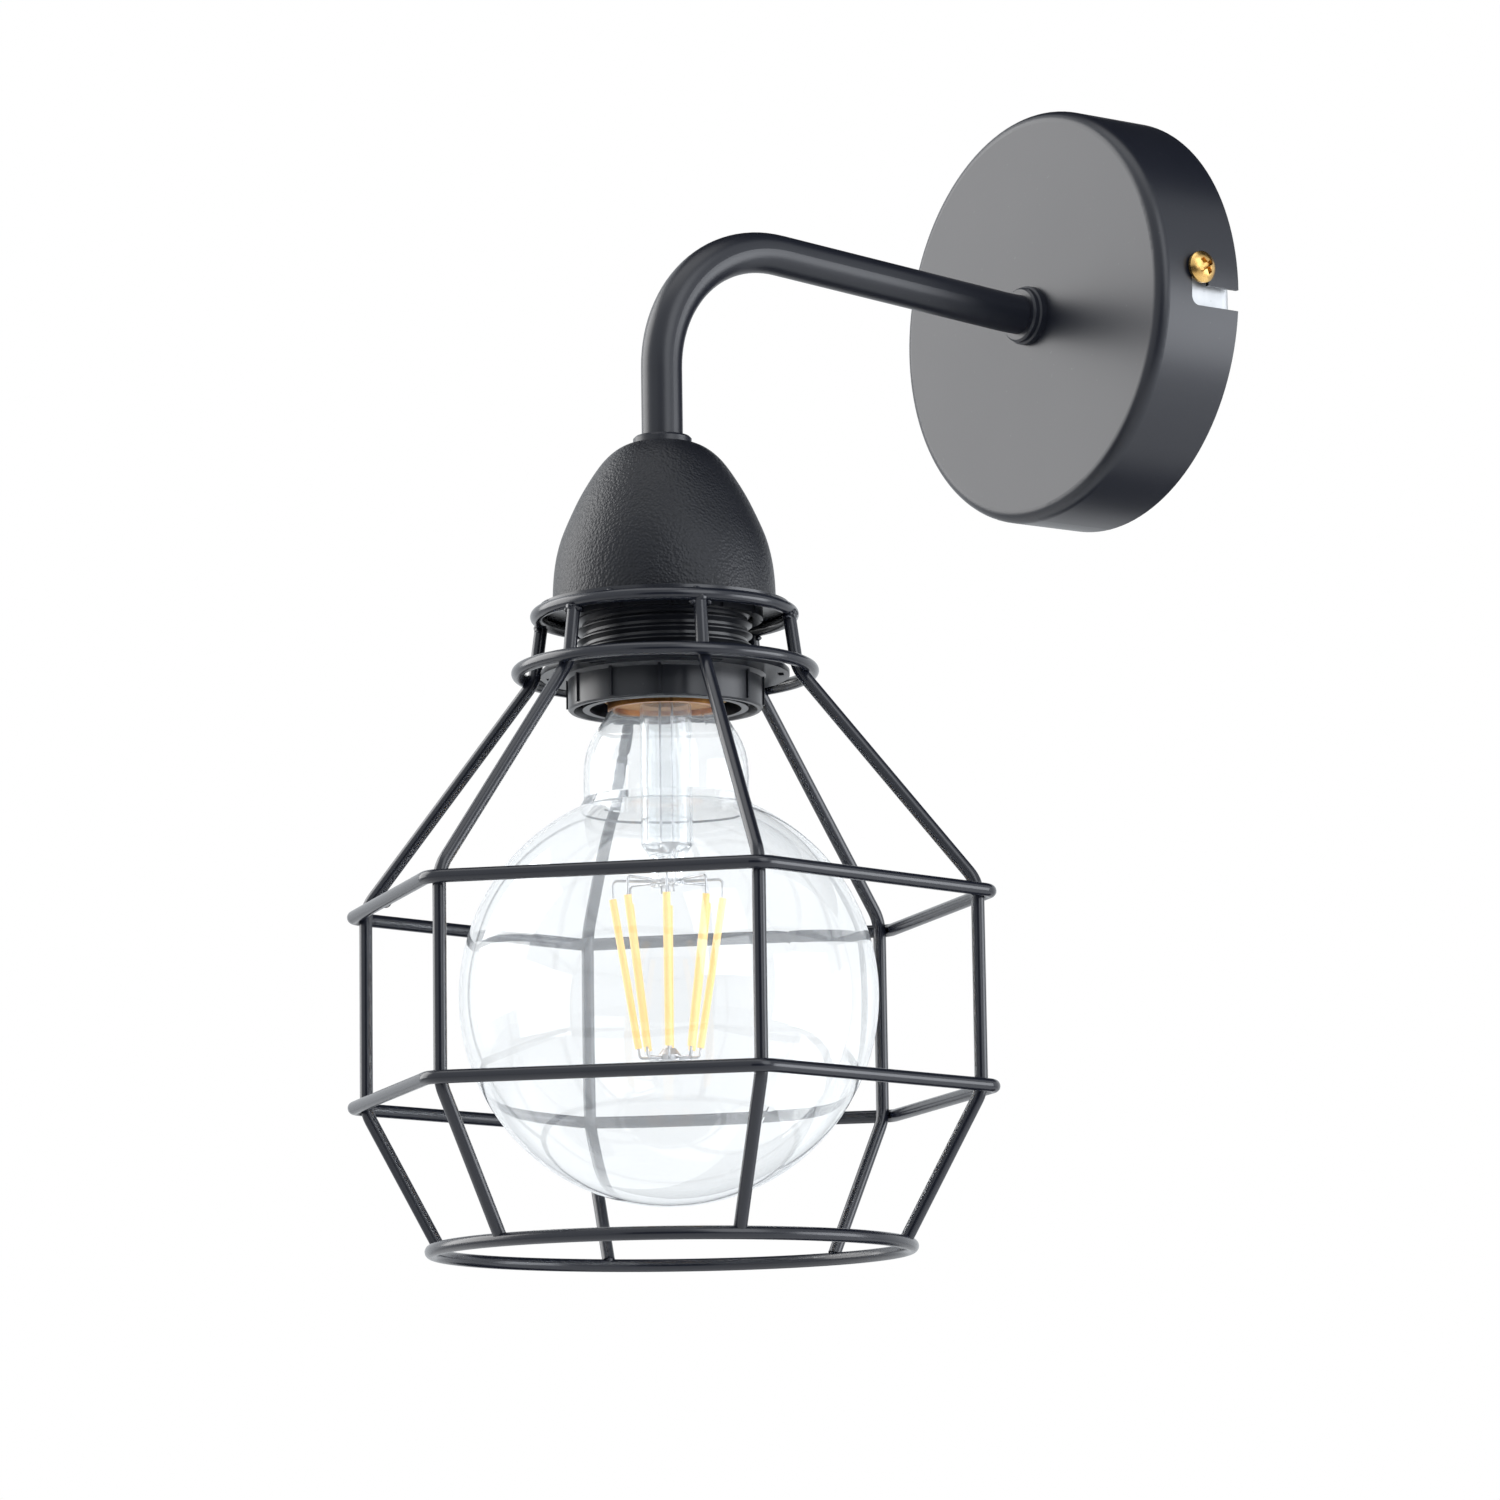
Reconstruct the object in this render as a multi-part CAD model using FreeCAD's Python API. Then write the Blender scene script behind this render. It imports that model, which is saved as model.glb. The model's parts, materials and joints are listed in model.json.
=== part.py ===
import FreeCAD, Part
import math
import os

os.makedirs("parts", exist_ok=True)
Vec = FreeCAD.Vector

# Wall plane is y = 0, the canopy axis runs along Y through the origin and the lamp hangs along -Z.

# canopy
canopy_radius = 50.0
canopy_depth = 24.0
sheet = 1.0
canopy_edge_radius = 3.0
screw_depth = 12.0
screw_offset = 3.4
slot_width = 5.0
bayonet_turn = 7.5
back_clearance = 0.3

# wall bracket
strap_width = 22.0
strap_thickness = 1.5
wall_slot_spacing = 60.0
wall_slot_width = 5.0
wall_slot_length = 14.0
cable_hole_radius = 7.0
tab_clearance = 0.6
tab_length = 17.0
tab_width = 17.0
lug_width = 28.0
lug_drop = 33.0
screw_radius = 2.0
pan_head_radius = 3.8
pan_head_height = 2.4
recess_turn = 35.0
earth_screw_gap = 8.0
earth_screw_z = 6.0
earth_washer_radius = 4.0
earth_washer_thickness = 1.6

# terminal block
block_width = 28.0
block_height = 15.0
block_depth = 10.5
block_gap = 14.5
pole_spacing = 8.0
pole_radius = 2.0

# arm
tube_radius = 4.75
tube_wall = 1.0
arm_reach = 132.0
arm_rise = 4.5
arm_start = 30.0
arm_bend_radius = 31.0
first_bend_radius = 60.0
tube_inside_canopy = 14.0
collar_radius = 6.6
collar_height = 3.4
nut_across_flats = 14.0
nut_thickness = 4.0
holder_nut_across_flats = 11.8
holder_nut_thickness = 3.0
washer_radius = 8.5
washer_thickness = 1.0

# holder cover and lampholder
cover_top = -43.4
cover_radius = 25.5
cover_height = 37.4
cover_wall = 1.6
barrel_radius = 18.9
barrel_wall = 1.6
thread_height = 1.1
thread_pitch = 2.5
thread_top = -69.0
barrel_top = -64.0
barrel_roof = 2.0
cap_neck_depth = 6.0
cap_neck_radius = 9.0
shoulder_width = 4.4
holder_mouth = -105.0
running_gap = 0.35
part_gap = 0.3
shell_bore = 13.55
shell_wall = 0.5
shell_rim = 2.0
carrier_thickness = 6.0
contact_height = 6.2
contact_strip = 0.5
contact_width = 5.0
terminal_spread = 9.0
terminal_width = 6.0
terminal_height = 5.0

# screw rings on the barrel
clamp_ring_radius = 22.5
clamp_ring_thickness = 2.0
skirt_flange_radius = 28.4
skirt_flange_thickness = 1.8
skirt_radius = 22.2
skirt_top = -95.7
skirt_rib_count = 12
skirt_rib = 0.45
skirt_rib_turn = 22.0

# cage
wire_radius = 1.5
weld_sink = 0.3
cage_turn = 11.2
rod_count = 6
plate_radius = 28.6
plate_thickness = 1.1
top_ring_radius = 29.2
rod_neck_radius = 30.9
rod_neck_z = -97.0
hoop_radius = 71.5
shoulder_z = -147.8
belly_z = -194.6
upper_hoop_z = -149.8
lower_hoop_z = -193.6
bottom_ring_radius = 54.0
bottom_ring_z = -227.9
collar_ring_z = -96.5
rod_bend_radius = 9.0
hoop_corner_radius = 5.0

# bulb
bulb_length = 140.0
globe_radius = 47.5
glass_wall = 0.8
neck_radius = 18.8
crease_height = 1.6
crease_width = 1.0
cap_radius = 13.2
cap_length = 27.0
cap_rim = 4.5
cap_wall = 1.6
cap_thread_height = 0.9
cap_thread_pitch = 3.629
cap_thread_turns = 5
insulator_radius = 5.2
tip_radius = 4.8
tip_height = 1.4
cement_gap = 1.2
cement_depth = 4.0
board_radius = 8.0
board_height = 12.0
board_thickness = 1.4
filament_count = 8
filament_turn = 9.0
filament_radius = 0.85
filament_length = 34.0
filament_rise = 22.2
filament_top_radius = 12.5
filament_bottom_radius = 7.0
filament_cap = 0.6
stem_radius = 5.9
stem_wall = 0.7
stem_gap = 12.5
pinch_length = 9.5
pinch_height = 7.5
pinch_thickness = 3.0
hub_radius = 2.6
hub_thickness = 1.0
rod_radius = 0.6
lead_radius = 0.3
lead_spread = 2.4

# supply wires
wire_insulation_radius = 1.1
wire_spread = 1.35
wire_entry = 2.8
wire_bend_radius = 2.5
wire_step = 4.0
earth_wire_radius = 1.0
earth_wire_rise = 12.0

lamp_axis = Vec(0, -arm_reach, 0)
down = Vec(0, 0, -1)
plate_top = cover_top - cover_height - part_gap
plate_bottom = plate_top - plate_thickness
top_ring_z = plate_bottom - wire_radius
crest_radius = barrel_radius + thread_height
ring_bore = crest_radius + running_gap
skirt_bottom = holder_mouth - part_gap
neck_z = cover_top - cover_wall - holder_nut_thickness
carrier_top = barrel_top - barrel_roof
carrier_bottom = carrier_top - carrier_thickness
bulb_tip = carrier_bottom - contact_height
cap_bottom = bulb_tip - cap_length
globe_z = bulb_tip - bulb_length + globe_radius
filament_top = globe_z + filament_rise
filament_bottom = filament_top - filament_length
stem_bottom = filament_top + stem_gap
cap_thread_start = cap_bottom + cap_rim
cap_thread_top = cap_thread_start + cap_thread_pitch * cap_thread_turns
board_z = cap_bottom + board_height
cement_z = cap_bottom + cement_gap
earth_screw_x = cable_hole_radius + earth_screw_gap
arm_top = (arm_reach - arm_start) * math.tan(math.radians(arm_rise))


def save(shape, node):
    shape.exportStep("parts/" + node + ".step")


def turned(points, axis_point=lamp_axis):
    """Solid of revolution about the vertical lamp axis from (radius, height) points."""
    corners = [Vec(r, 0, z) for r, z in points]
    outline = Part.makePolygon(corners + corners[:1])
    solid = Part.Face(outline).revolve(Vec(0, 0, 0), Vec(0, 0, 1), 360)
    solid.translate(axis_point)
    return solid


def turned_about_wall_axis(points):
    """Solid of revolution about the canopy axis from (radius, distance from wall) points."""
    corners = [Vec(r, -d, 0) for r, d in points]
    outline = Part.makePolygon(corners + corners[:1])
    return Part.Face(outline).revolve(Vec(0, 0, 0), Vec(0, 1, 0), 360)


def bent_path(points, radii):
    """Wire through points with an arc of the given radius at every inner point."""
    edges = []
    start = points[0]
    for i in range(1, len(points) - 1):
        corner = points[i]
        back = (points[i - 1] - corner).normalize()
        ahead = (points[i + 1] - corner).normalize()
        half = back.getAngle(ahead) / 2
        reach = radii[i - 1] / math.tan(half)
        first = corner + back * reach
        last = corner + ahead * reach
        inward = (back + ahead).normalize()
        centre = corner + inward * (radii[i - 1] / math.sin(half))
        middle = centre - inward * radii[i - 1]
        if (first - start).Length > 1e-4:
            edges.append(Part.makeLine(start, first))
        edges.append(Part.Arc(first, middle, last).toShape())
        start = last
    edges.append(Part.makeLine(start, points[-1]))
    return Part.Wire(edges)


def round_bar(path, radius):
    """Round bar swept along a wire."""
    begin = path.Edges[0]
    point = begin.valueAt(begin.FirstParameter)
    along = begin.tangentAt(begin.FirstParameter)
    section = Part.Wire([Part.makeCircle(radius, point, along)])
    return path.makePipeShell([section], True, False)


def at_angle(radius, degrees, z):
    angle = math.radians(degrees)
    return lamp_axis + Vec(radius * math.cos(angle), radius * math.sin(angle), z)


def rod_angle(i):
    return -90 + cage_turn + 360.0 / rod_count * i


def hexagon(across_flats, thickness, base, axis):
    corner = across_flats / 2 / math.cos(math.radians(30))
    points = []
    for i in range(7):
        angle = math.radians(60 * i)
        points.append(Vec(corner * math.cos(angle), corner * math.sin(angle), 0))
    prism = Part.Face(Part.makePolygon(points)).extrude(Vec(0, 0, thickness))
    prism.Placement = FreeCAD.Placement(base, FreeCAD.Rotation(Vec(0, 0, 1), axis))
    return prism


def pan_screw(head_base, axis, head_radius, head_height, shank_radius, shank_length):
    """Domed screw with a cross recess; axis points out of the head."""
    rim = head_height * 0.3
    crown = head_height - rim
    ball = (head_radius ** 2 + crown ** 2) / (2 * crown)
    half_way = math.asin(head_radius / ball) / 2
    rim_edge = Vec(head_radius, 0, rim)
    middle = Vec(ball * math.sin(half_way), 0, head_height - ball + ball * math.cos(half_way))
    top = Vec(0, 0, head_height)
    dome = Part.Arc(rim_edge, middle, top).toShape()
    sides = Part.makePolygon([top, Vec(0, 0, 0), Vec(head_radius, 0, 0), rim_edge])
    outline = Part.Face(Part.Wire([dome] + sides.Edges))
    head = outline.revolve(Vec(0, 0, 0), Vec(0, 0, 1), 360)
    shank = Part.makeCylinder(shank_radius, shank_length, Vec(0, 0, 0), Vec(0, 0, -1))
    arm = head_radius * 0.55
    slit = head_radius * 0.16
    recess_depth = head_height * 0.55
    floor = Vec(-arm, -slit, head_height - recess_depth)
    bar = Part.makeBox(2 * arm, 2 * slit, head_height, floor)
    floor = Vec(-slit, -arm, head_height - recess_depth)
    cross = bar.fuse(Part.makeBox(2 * slit, 2 * arm, head_height, floor))
    cross.rotate(Vec(0, 0, 0), Vec(0, 0, 1), recess_turn)
    screw = head.fuse(shank).cut(cross)
    screw.Placement = FreeCAD.Placement(head_base, FreeCAD.Rotation(Vec(0, 0, 1), axis))
    return screw


def both_sides(shape):
    """The shape and its copy half a turn round the canopy axis."""
    other = shape.copy()
    other.rotate(Vec(0, 0, 0), Vec(0, 1, 0), 180)
    return shape, other


def tab_face():
    inner = canopy_radius - sheet
    reach = screw_offset + tab_width / 2
    return math.sqrt(inner ** 2 - reach ** 2) - tab_clearance


def make_bracket():
    face = tab_face()
    half = strap_width / 2
    strap = Part.makeBox(2 * face, strap_thickness, strap_width, Vec(-face, -strap_thickness, -half))
    lug_top = -half + 1
    lug = Part.makeBox(lug_width, strap_thickness, lug_drop + lug_top,
                       Vec(-lug_width / 2, -strap_thickness, -lug_drop))
    tab = Part.makeBox(strap_thickness, tab_length, tab_width,
                       Vec(face - strap_thickness, -tab_length, screw_offset - tab_width / 2))
    hole = Part.makeCylinder(screw_radius * 0.9, 3 * strap_thickness,
                             Vec(face - 2 * strap_thickness, -screw_depth, screw_offset), Vec(1, 0, 0))
    tabs = both_sides(tab.cut(hole))
    body = strap.fuse([lug, tabs[0], tabs[1]]).removeSplitter()
    outer = []
    for edge in body.Edges:
        middle = edge.CenterOfMass
        vertical = abs(edge.tangentAt(edge.FirstParameter).z) > 0.9
        if vertical and abs(abs(middle.x) - face) < 0.01 and abs(middle.y) < 0.01:
            outer.append(edge)
    body = body.makeFillet(strap_thickness * 1.4, outer)
    body = body.cut(Part.makeCylinder(cable_hole_radius, 9, Vec(0, 1, 0), Vec(0, -1, 0)))
    for side in (-1, 1):
        run = (wall_slot_length - wall_slot_width) / 2
        middle = side * wall_slot_spacing / 2
        slot = Part.makeBox(2 * run, 9, wall_slot_width, Vec(middle - run, -8, -wall_slot_width / 2))
        for end in (-run, run):
            slot = slot.fuse(Part.makeCylinder(wall_slot_width / 2, 9, Vec(middle + end, 1, 0), Vec(0, -1, 0)))
        body = body.cut(slot)
    save(body, "mounting_bracket")


def make_canopy_screws():
    seat = canopy_radius + part_gap + 0.1
    length = seat - tab_face() + strap_thickness + 2
    screw = pan_screw(Vec(seat, -screw_depth, screw_offset), Vec(1, 0, 0),
                      pan_head_radius, pan_head_height, screw_radius, length)
    right, left = both_sides(screw)
    save(right, "canopy_screw_right")
    save(left, "canopy_screw_left")


def make_terminal_block():
    top = -block_gap
    base = Vec(-block_width / 2, -strap_thickness - block_depth, top - block_height)
    body = Part.makeBox(block_width, block_depth, block_height, base)
    inserts = []
    screws = []
    middle_y = -strap_thickness - block_depth * 0.5
    for pole in (-1, 0, 1):
        x = pole * pole_spacing
        bore = Part.makeCylinder(pole_radius, block_height, Vec(x, middle_y, top), down)
        body = body.cut(bore)
        sleeve = Part.makeCylinder(pole_radius, block_height - 3, Vec(x, middle_y, top - 1.5), down)
        hollow = Part.makeCylinder(pole_radius - 0.5, block_height, Vec(x, middle_y, top), down)
        inserts.append(sleeve.cut(hollow))
        for share in (0.28, 0.72):
            z = top - block_height * share
            front = -strap_thickness - block_depth
            well = Part.makeCylinder(1.6, block_depth * 0.5, Vec(x, front, z), Vec(0, 1, 0))
            body = body.cut(well)
            screws.append(pan_screw(Vec(x, front + 2.4, z), Vec(0, -1, 0), 1.5, 1.2, 0.8, 1.6))
    for x in (-pole_spacing / 2, pole_spacing / 2):
        groove = Part.makeBox(0.8, block_depth * 0.35, block_height + 2,
                              Vec(x - 0.4, -strap_thickness - block_depth - 0.1, top - block_height - 1))
        body = body.cut(groove)
    screw_x = block_width / 2 - 2.2
    screw_z = top - block_height / 2
    hole = Part.makeCylinder(1.3, block_depth + 2, Vec(screw_x, -strap_thickness, screw_z), Vec(0, -1, 0))
    body = body.cut(hole)
    front = -strap_thickness - block_depth
    block_screw = pan_screw(Vec(screw_x, front, screw_z), Vec(0, -1, 0), 2.2, 1.4, 1.3, block_depth)
    save(body, "terminal_block")
    save(Part.makeCompound(inserts), "terminal_inserts")
    save(Part.makeCompound(screws), "terminal_screws")
    save(block_screw, "block_screw")


def make_earth_screw():
    seat = -strap_thickness
    head_base = Vec(earth_screw_x, seat - earth_washer_thickness, earth_screw_z)
    radius = earth_washer_radius * 0.9
    length = earth_washer_thickness + strap_thickness - 0.1
    head = pan_screw(head_base, Vec(0, -1, 0), radius, radius * 0.6, radius * 0.53, length)
    washer = Part.makeCylinder(earth_washer_radius, earth_washer_thickness,
                               Vec(earth_screw_x, seat, earth_screw_z), Vec(0, -1, 0))
    save(head.fuse(washer).removeSplitter(), "earth_screw")


def make_canopy():
    outer = Part.makeCylinder(canopy_radius, canopy_depth - back_clearance, Vec(0, -back_clearance, 0),
                              Vec(0, -1, 0))
    front = [e for e in outer.Edges if abs(e.CenterOfMass.y + canopy_depth) < 0.01]
    outer = outer.makeFillet(canopy_edge_radius, front)
    inner = Part.makeCylinder(canopy_radius - sheet, canopy_depth - sheet, Vec(0, 0, 0), Vec(0, -1, 0))
    front = [e for e in inner.Edges if abs(e.CenterOfMass.y + canopy_depth - sheet) < 0.01]
    inner = inner.makeFillet(canopy_edge_radius - sheet, front)
    pan = outer.cut(inner)
    pan = pan.cut(Part.makeCylinder(tube_radius, canopy_depth + 5, Vec(0, 0, 0), Vec(0, -1, 0)))
    half = slot_width / 2
    drop = canopy_radius * math.radians(bayonet_turn)
    mouth_z = screw_offset - drop
    reach = Vec(canopy_radius - 8, 0, 0)
    entry = Part.makeBox(12, screw_depth + half, slot_width, Vec(reach.x, -screw_depth - half, mouth_z - half))
    corners = [e for e in entry.Edges if abs(e.tangentAt(e.FirstParameter).x) > 0.9
               and abs(e.CenterOfMass.y + screw_depth + half) < 0.01]
    entry = entry.makeFillet(half * 0.9, corners)
    across = Part.makeBox(12, slot_width, drop, Vec(reach.x, -screw_depth - half, mouth_z))
    pocket = Part.makeCylinder(half, 12, Vec(reach.x, -screw_depth, screw_offset), Vec(1, 0, 0))
    slot = entry.fuse([across, pocket])
    for side in both_sides(slot):
        pan = pan.cut(side)
    save(pan, "canopy")


def arm_points(lateral, first, last):
    return [Vec(lateral, -first, 0), Vec(lateral, -arm_start, 0),
            Vec(lateral, -arm_reach, arm_top), Vec(lateral, -arm_reach, last)]


def make_arm():
    tube_end = cover_top - 8
    path = bent_path(arm_points(0, tube_inside_canopy, tube_end), [first_bend_radius, arm_bend_radius])
    tube = round_bar(path, tube_radius).cut(round_bar(path, tube_radius - tube_wall))
    save(tube, "arm_tube")
    step = collar_height * 0.45
    face = canopy_depth
    collar = turned_about_wall_axis([(tube_radius, face), (collar_radius + 0.5, face),
                                     (collar_radius + 0.5, face + step), (collar_radius, face + step + 0.3),
                                     (collar_radius, face + collar_height - 0.5),
                                     (collar_radius - 0.5, face + collar_height),
                                     (tube_radius, face + collar_height)])
    save(collar, "canopy_collar")
    inside = canopy_depth - sheet
    washer = turned_about_wall_axis([(tube_radius, inside), (washer_radius, inside),
                                     (washer_radius, inside - washer_thickness),
                                     (tube_radius, inside - washer_thickness)])
    save(washer, "lock_washer")
    nut_base = inside - washer_thickness
    nut = hexagon(nut_across_flats, nut_thickness, Vec(0, -nut_base, 0), Vec(0, 1, 0))
    nut = nut.cut(Part.makeCylinder(tube_radius, 2 * canopy_depth, Vec(0, 0, 0), Vec(0, -1, 0)))
    save(nut, "lock_nut")
    inner = tube_radius - tube_wall
    end = tube_inside_canopy
    bush = turned_about_wall_axis([(inner - 0.7, end - 1), (tube_radius, end - 1), (tube_radius, end),
                                   (inner, end), (inner, end + 5), (inner - 0.7, end + 5)])
    save(bush, "tube_bush")


def cover_outline():
    """(share of radius, share of height) down the outside of the cover."""
    return [(0.27, 0.0), (0.42, 0.045), (0.522, 0.105), (0.652, 0.225), (0.756, 0.345), (0.844, 0.47),
            (0.92, 0.595), (0.968, 0.72), (0.992, 0.845), (1.0, 1.0)]


def smooth_shell(outer, inner):
    """Revolved shell between two smooth outlines given as (radius, height) points."""
    a = [Vec(r, 0, z) for r, z in outer]
    b = [Vec(r, 0, z) for r, z in inner]
    outer_curve = Part.BSplineCurve()
    outer_curve.interpolate(a)
    inner_curve = Part.BSplineCurve()
    inner_curve.interpolate(b)
    edges = [outer_curve.toShape(), Part.makeLine(a[-1], b[-1]), inner_curve.toShape(),
             Part.makeLine(b[0], a[0])]
    solid = Part.Face(Part.Wire(edges)).revolve(Vec(0, 0, 0), Vec(0, 0, 1), 360)
    solid.translate(lamp_axis)
    return solid


def make_cover():
    outer = [(cover_radius * r, cover_top - cover_height * h) for r, h in cover_outline()]
    inner = []
    for i, (r, z) in enumerate(outer):
        before = outer[max(i - 1, 0)]
        after = outer[min(i + 1, len(outer) - 1)]
        slope = math.atan2(before[1] - after[1], after[0] - before[0])
        inner.append((r - cover_wall * math.sin(slope), z - cover_wall * math.cos(slope)))
    inner[-1] = (cover_radius - cover_wall, outer[-1][1])
    shell = smooth_shell(outer, inner)
    cap = turned([(tube_radius, cover_top), (outer[0][0], cover_top), (inner[1][0], inner[1][1]),
                  (inner[0][0], inner[0][1]), (tube_radius, cover_top - cover_wall)])
    save(shell.fuse(cap).removeSplitter(), "holder_cover")
    foot = collar_radius + 0.15
    collar = turned([(tube_radius, cover_top), (foot, cover_top), (foot, cover_top + 1.2),
                     (foot - 0.5, cover_top + 1.7), (tube_radius, cover_top + 1.7)])
    save(collar, "cover_collar")
    base = Vec(0, -arm_reach, cover_top - cover_wall)
    nut = hexagon(holder_nut_across_flats, holder_nut_thickness, base, down)
    nut = nut.cut(Part.makeCylinder(tube_radius, -barrel_top, lamp_axis, down))
    save(nut, "holder_nut")


def thread_ridge():
    length = thread_top - holder_mouth - thread_pitch
    helix = Part.makeHelix(thread_pitch, length, barrel_radius)
    flank = thread_pitch * 0.42
    root = barrel_radius - 0.15
    tip = thread_height * 0.11
    corners = [Vec(root, 0, -flank), Vec(crest_radius, 0, -tip), Vec(crest_radius, 0, tip), Vec(root, 0, flank)]
    section = Part.makePolygon(corners + corners[:1])
    ridge = Part.Wire(helix).makePipeShell([section], True, True)
    ridge.translate(Vec(0, -arm_reach, holder_mouth + thread_pitch * 0.5))
    return ridge


def make_holder():
    chamber = barrel_radius - barrel_wall
    shoulder = barrel_radius - shoulder_width
    neck_end = neck_z - cap_neck_depth
    slant = cap_neck_depth / 3
    skin = barrel_wall * 0.9375
    lip = barrel_top - barrel_roof * 0.6
    cap = turned([(tube_radius, neck_z), (cap_neck_radius, neck_z), (cap_neck_radius, neck_end + slant),
                  (shoulder, neck_end - slant), (shoulder, lip), (shoulder - skin, lip),
                  (shoulder - skin, neck_end - 1.5 * slant), (tube_radius + slant / 2, neck_end),
                  (tube_radius, neck_end)])
    save(cap, "holder_cap")
    barrel = turned([(shoulder, barrel_top), (barrel_radius, barrel_top), (barrel_radius, holder_mouth),
                     (chamber, holder_mouth), (chamber, carrier_top), (shoulder, carrier_top)])
    save(barrel.fuse(thread_ridge()), "holder_body")
    carrier = turned([(0, carrier_top), (chamber, carrier_top), (chamber, carrier_bottom), (0, carrier_bottom)])
    for side in (-1, 1):
        top = lamp_axis + Vec(side * terminal_spread, 0, carrier_top + 1)
        carrier = carrier.cut(Part.makeCylinder(wire_insulation_radius, carrier_thickness + 2, top, down))
    save(carrier, "contact_carrier")
    flange = chamber - part_gap
    outer = shell_bore + shell_wall
    low = holder_mouth + shell_rim
    step = carrier_bottom - shell_wall
    shell = turned([(shell_bore, carrier_bottom), (flange, carrier_bottom), (flange, step), (outer, step),
                    (outer, low), (shell_bore, low)])
    save(shell, "screw_shell")
    make_centre_contact()
    make_holder_terminals()


def make_centre_contact():
    strip = contact_strip
    low = bulb_tip + part_gap
    heel = -1.4 * contact_width
    flat = -0.4 * contact_width
    toe = 0.6 * contact_width
    end = 1.2 * contact_width
    lift = low + contact_height / 2
    points = [Vec(heel, 0, carrier_bottom), Vec(flat, 0, low + strip), Vec(toe, 0, low + strip),
              Vec(end, 0, lift), Vec(end, 0, lift - strip), Vec(toe, 0, low), Vec(flat, 0, low),
              Vec(heel, 0, carrier_bottom - strip)]
    contact = Part.Face(Part.makePolygon(points + points[:1])).extrude(Vec(0, contact_width, 0))
    contact.translate(lamp_axis + Vec(0, -contact_width / 2, 0))
    corner = Vec(heel - 0.7 * contact_width, -contact_width / 2, carrier_bottom - strip)
    foot = Part.makeBox(0.8 * contact_width, contact_width, strip, lamp_axis + corner)
    save(contact.fuse(foot).removeSplitter(), "centre_contact")


def make_holder_terminals():
    half = terminal_width / 2
    head_height = 0.4 * half
    blocks = []
    screws = []
    for side in (-1, 1):
        middle = side * terminal_spread
        block = Part.makeBox(terminal_width, terminal_width, terminal_height,
                             lamp_axis + Vec(middle - half, -half, carrier_top))
        top = lamp_axis + Vec(middle, 0, carrier_top + terminal_height + 1)
        blocks.append(block.cut(Part.makeCylinder(wire_insulation_radius, terminal_height + 2, top, down)))
        seat = lamp_axis + Vec(middle, -half - head_height / 3, carrier_top + terminal_height / 2)
        screws.append(pan_screw(seat, Vec(0, -1, 0), 0.57 * half, head_height, half / 3, half * 0.73))
    save(Part.makeCompound(blocks), "holder_terminals")
    save(Part.makeCompound(screws), "holder_terminal_screws")


def make_supply_wires():
    front = -strap_thickness - block_depth * 0.5
    above_terminals = carrier_top + terminal_height + 2
    below_neck = neck_z - cap_neck_depth - 0.56 * wire_bend_radius
    for side, node in ((-1, "neutral_wire"), (1, "live_wire")):
        x = side * pole_spacing
        spread = side * wire_spread
        foot = side * terminal_spread
        points = [Vec(x, front, -block_gap - wire_entry), Vec(x, front, -wire_step),
                  Vec(spread, front - wire_step, 0), Vec(spread, -arm_start, 0),
                  Vec(spread, -arm_reach, arm_top), Vec(spread, -arm_reach, below_neck),
                  Vec(foot, -arm_reach, above_terminals), Vec(foot, -arm_reach, carrier_top - 1)]
        bend = wire_bend_radius
        path = bent_path(points, [bend, bend, first_bend_radius, arm_bend_radius, bend, bend])
        save(round_bar(path, wire_insulation_radius), node)
    low = -strap_thickness - 1.5 * earth_wire_radius
    inside = -canopy_depth + sheet + 1.4 * earth_wire_radius
    crest = earth_screw_z + earth_wire_rise
    start = earth_screw_z + earth_washer_radius + part_gap
    turn = 2 * earth_wire_radius
    points = [Vec(earth_screw_x, low, start), Vec(earth_screw_x, low, crest), Vec(earth_screw_x, inside, crest),
              Vec(earth_screw_x - turn, inside, washer_radius),
              Vec(washer_radius * 0.7, inside, washer_radius * 0.65)]
    save(round_bar(bent_path(points, [1.5 * turn, 2 * turn, turn]), earth_wire_radius), "earth_wire")


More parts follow.
